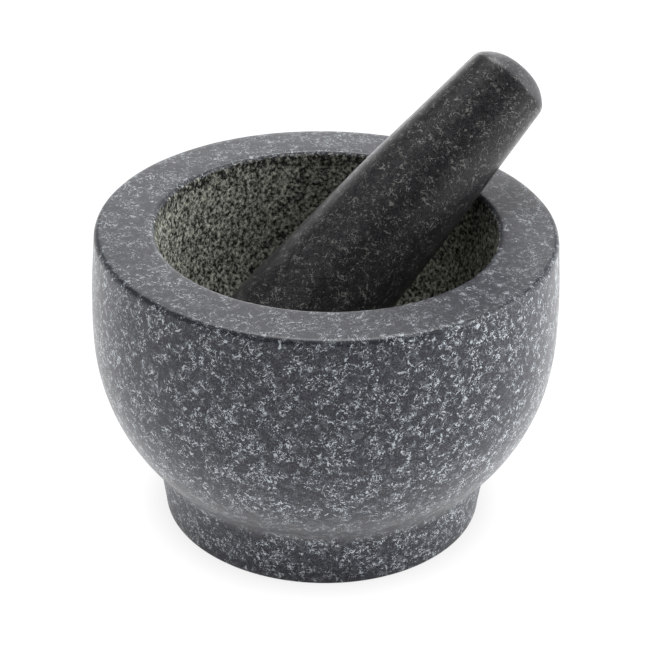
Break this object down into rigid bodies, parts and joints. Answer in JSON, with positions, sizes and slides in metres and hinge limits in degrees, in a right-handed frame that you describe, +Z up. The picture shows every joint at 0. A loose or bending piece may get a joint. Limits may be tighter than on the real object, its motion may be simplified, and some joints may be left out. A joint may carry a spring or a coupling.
{
  "type": "molcajete",
  "caption": "Stone mortar on a round foot, with a wide flat rim and pecked round bowl, and a loose tapered pestle leaning in it.",
  "frame": {"origin": "centre of the flat underside of the mortar's foot", "axes": "+Z up along the mortar's axis; -Y towards the front, where the viewer stands; the pestle leans towards +X and +Y"},
  "size_m": [0.152, 0.152, 0.1481],
  "materials": {
    "mortar_stone": "dark grey speckled granite, honed outside and pecked inside the bowl",
    "pestle_stone": "dark grey speckled granite, smoothly honed"
  },
  "bodies": {
    "mortar": {"mortar": "mortar_stone"},
    "pestle": {"pestle": "pestle_stone"}
  },
  "joints": [
    {"name": "pestle_lift", "type": "slide", "parent": "mortar", "child": "pestle", "axis": [0, 0, 1], "range_m": [0, 0.12]}
  ]
}
